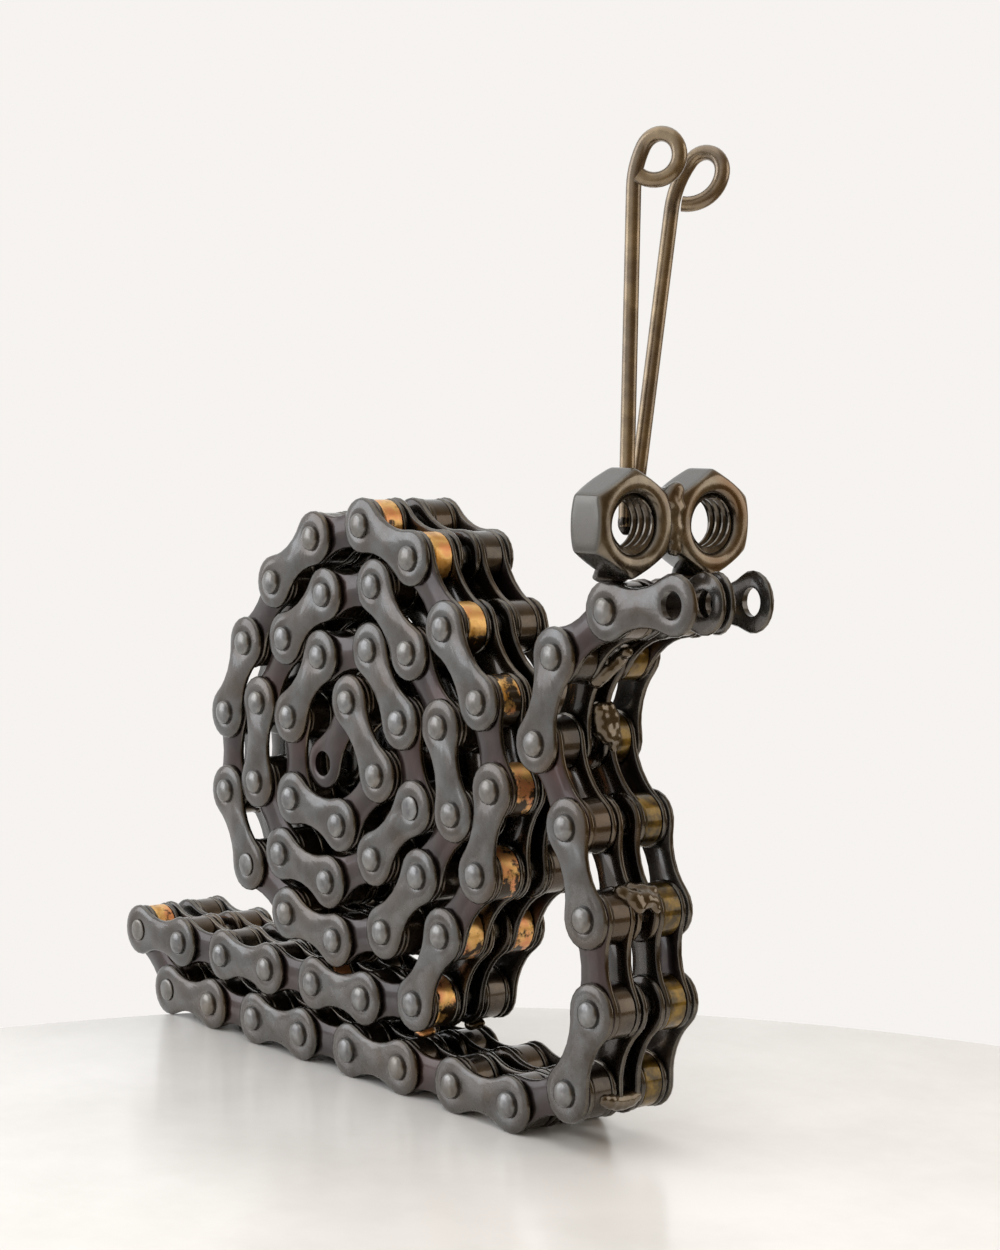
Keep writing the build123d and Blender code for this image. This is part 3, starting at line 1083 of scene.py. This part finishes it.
# %% Draw the nut
nut_low, nut_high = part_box("right_eye_nut")
nut_across_flats = nut_high.y - nut_low.y
nut_corners = nut_high.z - nut_low.z
nut_depth = nut_high.x - nut_low.x
nut_rim = 0.8 * mm
nut_rim_slope = radians(30)
nut_lead_in = 0.75 * mm
nut_skin = 0.2 * mm
thread_root_radius = 4.0 * mm
overrun = 1 * mm
print("Nut across flats, corners, depth:", in_mm((nut_across_flats, nut_corners, nut_depth), 2))


def cut_with(piece, cutter, operation):
    """Cut or intersect a piece with another, and remove the other."""
    apply_modifier(piece, "BOOLEAN", operation=operation, object=cutter, solver="EXACT")
    bpy.data.objects.remove(cutter)


def turned(name, stations):
    """A solid turned about X, given as places along X and the radius at each, in metres."""
    solid = start_piece(name)
    x, radius = stations[0]
    bpy.ops.mesh.primitive_circle_add(
        vertices=64, radius=radius, rotation=(0, pi / 2, 0), location=(x, 0, 0), fill_type="NGON")
    bpy.ops.mesh.select_mode(type="EDGE")
    for next_x, next_radius in stations[1:]:
        shift = {"value": (next_x - x, 0, 0)}
        share = next_radius / radius
        bpy.ops.mesh.extrude_region_move(TRANSFORM_OT_translate=shift)
        bpy.ops.transform.resize(value=(1, share, share), center_override=(0, 0, 0))
        x, radius = next_x, next_radius
    bpy.ops.mesh.select_all(action="SELECT")
    bpy.ops.mesh.normals_make_consistent(inside=False)
    bpy.ops.object.mode_set(mode="OBJECT")
    return solid


face_x = nut_depth / 2
corner_radius = nut_corners / 2
nut = start_piece("hex_nut")
bpy.ops.mesh.primitive_cylinder_add(
    vertices=6, radius=corner_radius, depth=nut_depth, rotation=(0, pi / 2, 0))
bpy.ops.object.mode_set(mode="OBJECT")
if max(v.co.z for v in nut.data.vertices) < corner_radius - tolerance:
    nut.data.transform(Matrix.Rotation(pi / 6, 4, "X"))
rim_radius = corner_radius - nut_rim / tan(nut_rim_slope)
rims = [
    (-face_x, rim_radius), (-face_x + nut_rim, corner_radius),
    (face_x - nut_rim, corner_radius), (face_x, rim_radius),
]
cut_with(nut, turned("nut_rims", rims), "INTERSECT")
flare = thread_root_radius + nut_lead_in + overrun
bore = [
    (-face_x - overrun, flare), (-face_x + nut_lead_in, thread_root_radius),
    (face_x - nut_lead_in, thread_root_radius), (face_x + overrun, flare),
]
cut_with(nut, turned("nut_bore", bore), "DIFFERENCE")
apply_modifier(nut, "REMESH", mode="VOXEL", voxel_size=nut_skin, use_smooth_shade=True)
apply_modifier(nut, "SMOOTH", factor=0.5, iterations=44)
edit(nut)
finish_piece(nut, nut_steel, 60)
keep_as_pattern(nut)

# %% [markdown]
# ## Threads
# A thread is one ridge that winds round the bore, 1.25 mm further with each turn. Its outline is
# drawn as a line of five points and swept round the axis by the Screw modifier, cut off behind the
# lead-ins, given a wall and set into the bore of each nut.

# %% Draw the thread and place the nuts
thread_pitch = 1.25 * mm
thread_depth = 0.6 * mm
thread_turns = 8
thread_sunk = 0.05 * mm
thread_wall = 0.2 * mm
thread_end = nut_depth / 2 - 0.85 * mm
# Each step is a share of the pitch along the axis and of the depth toward it
ridge_steps = ((0.15, 0), (0.4, -1), (0.15, 0), (0.3, 1))

thread = start_piece("nut_thread")
bpy.ops.mesh.primitive_plane_add(size=mm)
bpy.ops.mesh.merge(type="CENTER")
ridge_start = (-nut_depth / 2 - thread_pitch, 0, thread_root_radius + thread_sunk)
bpy.ops.transform.translate(value=ridge_start)
for step, fall in ridge_steps:
    shift = {"value": (step * thread_pitch, 0, fall * thread_depth)}
    bpy.ops.mesh.extrude_vertices_move(TRANSFORM_OT_translate=shift)
bpy.ops.object.mode_set(mode="OBJECT")
apply_modifier(
    thread, "SCREW", axis="X", angle=2 * pi, screw_offset=thread_pitch, iterations=thread_turns,
    steps=40, render_steps=40, use_merge_vertices=True, merge_threshold=tolerance)
edit(thread)
for way in (-1, 1):
    select_mesh()
    bpy.ops.mesh.bisect(
        plane_co=(way * thread_end, 0, 0), plane_no=(way, 0, 0), clear_outer=True,
        threshold=cut_threshold)
bpy.ops.object.mode_set(mode="OBJECT")
apply_modifier(thread, "SOLIDIFY", thickness=thread_wall, offset=0)
edit(thread)
finish_piece(thread, thread_steel, 50)
keep_as_pattern(thread)

for side, _ in sides:
    node = f"{side}_eye_nut"
    low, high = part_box(node)
    centre = Matrix.Translation((low + high) / 2)
    place_copies(node + "_made", [(nut, centre)], node)
    place_copies(f"{side}_eye_thread", [(thread, centre)])

# %% [markdown]
# ## Antennae
# Each antenna is one drawn wire, 2.1 mm thick: up from behind the eyes, into a wide bend that
# tightens over the top, and back beside itself. A circle of edges is extruded up the shaft and then
# spun about the middle of each bend, as a wire is bent round a pin. The two differ in lean and
# size. The bends head a little to the snail's left of straight ahead and return on the right.

# %% Draw the antennae
wire_radius = 1.05 * mm
foot_below_eye_middle = 0.6 * mm
near_wire_y = -2.42 * mm
bend_heading = radians(18)
return_heading = radians(23)
eye_middle_z = (nut_low.z + nut_high.z) / 2
wire_foot = Vector((nut_low.x - wire_radius, near_wire_y, eye_middle_z - foot_below_eye_middle))
second_wire = Vector((-0.9, 2.0, 0)) * mm


def draw_antenna(node, foot, lean, shaft_length, bend_radii, lead_turn, end_turn):
    """One wire: a shaft, a bend forwards that tightens over the top, and a return bend.

    The lean and the turns are in degrees, the shaft's length and the three radii in mm.
    """
    shaft = Vector((0, sin(radians(lean)), cos(radians(lean))))
    heading = Vector((cos(bend_heading), sin(bend_heading), 0))
    over = (heading - shaft * heading.dot(shaft)).normalized()
    sideways = shaft.cross(over)
    back = over * -cos(return_heading) - sideways * sin(return_heading)
    lead_radius, top_radius, return_radius = (radius * mm for radius in bend_radii)
    wire = start_piece(node + "_made")
    bpy.ops.mesh.primitive_circle_add(
        vertices=14, radius=wire_radius, location=foot, rotation=(radians(-lean), 0, 0),
        fill_type="NGON")
    bpy.ops.mesh.select_mode(type="EDGE")
    shift = {"value": shaft * shaft_length * mm}
    bpy.ops.mesh.extrude_region_move(TRANSFORM_OT_translate=shift)
    lead_over = over * cos(radians(lead_turn)) - shaft * sin(radians(lead_turn))
    lead_middle = foot + shaft * shaft_length * mm + over * lead_radius
    top_middle = lead_middle + lead_over * (top_radius - lead_radius)
    return_middle = top_middle + over * top_radius + back * return_radius
    bends = (
        (6, lead_turn, lead_middle, sideways),
        (14, 180 - lead_turn, top_middle, sideways),
        (12, end_turn, return_middle, (-shaft).cross(back)),
    )
    for steps, turn, centre, axis in bends:
        bpy.ops.mesh.spin(steps=steps, angle=-radians(turn), center=centre, axis=axis)
    finish_piece(wire, wire_steel, 50)
    attach(wire, node)
    places = [v.co for v in wire.data.vertices]
    low = [min(place[axis] for place in places) for axis in range(3)]
    high = [max(place[axis] for place in places) for axis in range(3)]
    print(node, "made from", in_mm(low), "to", in_mm(high))


draw_antenna("right_antenna", wire_foot, 0.1, 45.1, (11.6, 2.9, 3.3), 28, 128)
draw_antenna("left_antenna", wire_foot + second_wire, 7.95, 43.2, (12.1, 2.75, 4.7), 33.5, 92)

# %% [markdown]
# ## Weld beads
# A weld bead is metal that was liquid: rounded lumps run into each other, with small ripples.
# Overlapping spheres are set along each seam and remeshed to one skin, which is smoothed and then
# rippled a little. The beads lie where the photograph shows them, over the seams that the CAD
# model's plain blocks stand for.

# %% A weld bead
ripples = bpy.data.textures.new("weld_ripples", "CLOUDS")
ripples.noise_scale = 1.5 * mm
ripples.noise_depth = 1


def weld_bead(name, material, lumps, node, grain=0.25, ripple=0.25):
    """Lumps given as a middle point and three radii in mm, run together as one bead."""
    bead = start_piece(name)
    for point, radii in lumps:
        bpy.ops.mesh.primitive_ico_sphere_add(subdivisions=3, radius=mm, location=point)
        bpy.ops.transform.resize(value=radii, center_override=point)
    bpy.ops.object.mode_set(mode="OBJECT")
    apply_modifier(bead, "REMESH", mode="VOXEL", voxel_size=grain * mm, use_smooth_shade=True)
    apply_modifier(bead, "SMOOTH", factor=0.7, iterations=28)
    apply_modifier(
        bead, "DISPLACE", texture=ripples, texture_coords="LOCAL", strength=ripple * mm,
        mid_level=0.5)
    edit(bead)
    finish_piece(bead, material, 70)
    attach(bead, node)


# %% [markdown]
# ## Bridges between the chains
# Short welds hold the two chains together at eleven joints, three lumps across the gap at each. On
# the neck's front and where it meets the foot the beads run on over the plates, and their lumps are
# placed one by one from the head down.

# %% Weld the chains together
bridge_joints = (1, 2, 3, 5, 7, 12, 16, 24, 30, 37, 51)
bridge_radii = (1.9, 0.6, 1.9)
bridge_lumps = []
for number in bridge_joints:
    for y in (-0.5, 0, 0.5):
        bridge_lumps.append((joints[number] + Vector((0, y, 0)) * mm, bridge_radii))

# Each row is a lump's place and its radius in mm, from the head down to the foot
front_lumps = (
    (43.3, -2.0, 64.4, 1.3), (44.1, -1.6, 65.2, 1.3), (44.6, -1.1, 66.0, 1.3),
    (45.0, -0.3, 66.8, 1.3), (45.4, 0.4, 67.7, 1.3), (46.9, 0.1, 68.6, 1.1),
    (41.6, 0.0, 60.2, 1.2), (41.6, 1.8, 60.2, 1.2), (41.2, 0.7, 58.8, 1.6),
    (41.2, 2.6, 58.9, 1.5), (41.3, 0.9, 57.4, 1.5), (41.3, 2.7, 57.3, 1.5),
    (41.7, 1.7, 56.2, 1.3), (41.7, 3.2, 55.9, 1.1), (41.7, 2.8, 54.7, 0.9),
    (41.7, 2.9, 53.8, 0.6),
    (50.5, -3.4, 36.2, 1.2), (50.2, -1.6, 36.3, 1.3), (51.5, -2.1, 35.3, 1.5),
    (50.7, 0.2, 36.1, 1.3), (51.8, -0.1, 35.0, 1.5), (51.0, 1.9, 35.8, 1.2),
    (52.0, 1.2, 34.7, 1.2), (52.3, -1.6, 34.2, 1.1), (52.4, 1.6, 33.7, 0.9),
    (49.3, -4.6, 7.6, 1.0), (49.2, -3.3, 7.2, 1.3), (48.9, -1.9, 6.8, 1.4),
    (48.8, -0.6, 6.7, 1.4), (48.9, 0.6, 6.8, 1.3), (49.1, 1.7, 7.2, 1.0),
)
for x, y, z, size in front_lumps:
    bridge_lumps.append((Vector((x, y, z)) * mm, (size, size, size)))
weld_bead(
    "bridge_weld_beads", weld_steel, bridge_lumps, "bridge_welds", grain=0.2, ripple=0.03)

# %% [markdown]
# ## Welds round the eyes
# The nuts are welded to each other down the seam between them, with a lumpy bead in front and a
# ridge along the top. A fillet under each nut holds it to the chain, and one blob behind holds the
# feet of both wires.

# %% Weld the eyes and the antennae
nut_middle_x = (nut_low.x + nut_high.x) / 2
ridge_height = 4.0 * mm
bead_behind_face = 0.75 * mm
# Each row is a lump's y, its height above the eyes' middle and its radius, in mm
front_seam = (
    (0.2, 4.5, 1.25), (-0.5, 3.2, 1.35), (0.5, 2.2, 1.3), (-0.3, 0.9, 1.2),
    (0.3, -0.6, 1.15), (-0.2, -2.0, 1.2), (0.1, -3.4, 1.2),
)
eye_seam = []
for along in (-2.4, -0.8, 0.8, 2.2):
    place = Vector((nut_middle_x + along * mm, 0, eye_middle_z))
    top = Vector((nut_middle_x + along * mm, 0, eye_middle_z + ridge_height))
    eye_seam.append((place, (1.4, 1.25, 3.6)))
    eye_seam.append((top, (1.3, 1.55 + 0.1 * along, 0.95)))
for y, z, size in front_seam:
    place = Vector((nut_high.x - bead_behind_face, y * mm, eye_middle_z + z * mm))
    eye_seam.append((place, (1.05, size + 0.25, size)))
weld_bead("eye_weld_bead", nut_steel, eye_seam, "eye_weld", ripple=0.2)

# Each row is a lump's place from the fillet's middle and its underside, and its radii, in mm
fillet_lumps = ((-0.3, 0.2, (2.2, 3.1, 0.8)), (-0.8, 1.0, (1.7, 2.3, 1.4)))
for side, _ in sides:
    node = f"{side}_eye_fillet_welds"
    low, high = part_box(node)
    centre = (low + high) / 2
    lumps = []
    for x, z, radii in fillet_lumps:
        lumps.append((Vector((centre.x + x * mm, centre.y, low.z + z * mm)), radii))
    # The fillets under the nuts take the darker finish, as painted shade
    weld_bead(node + "_made", painted_shade_steel, lumps, node, ripple=0.15)

# Each row is a lump's height above the wire's foot and its radius, in mm
foot_lumps = ((1.1, 1.2), (0.1, 1.2), (-0.7, 0.8))
second_foot = wire_foot + second_wire
lumps = []
for foot in (wire_foot, second_foot, (wire_foot + second_foot) / 2):
    for rise, size in foot_lumps:
        lumps.append((foot + Vector((0, 0, rise * mm)), (size, size, size)))
# The blob behind the eyes takes the darker finish, as painted shade
weld_bead("antenna_weld_made", painted_shade_steel, lumps, "antenna_weld", ripple=0.15)

# %% [markdown]
# ## The coil's seat
# The coil is brazed to the links of the foot's back run that it stands on. A small blob on each
# side fills that joint: copper-gold on the near side, plain weld on the far one.

# %% Braze the coil to its seat
seat_lumps = ((0, -0.7, 0), (0.4, 0.5, 0.2), (-0.6, 0.2, -0.1))
seat_radii = (1.5, 1.0, 1.0)
for side, _ in sides:
    node = f"{side}_coil_seat_braze"
    low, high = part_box(node)
    centre = (low + high) / 2
    lumps = []
    for x, y, z in seat_lumps:
        lumps.append((centre + Vector((x * mm, y * mm, z * mm)), seat_radii))
    metal = patchy_braze if side == "right" else weld_steel
    weld_bead(node + "_made", metal, lumps, node)
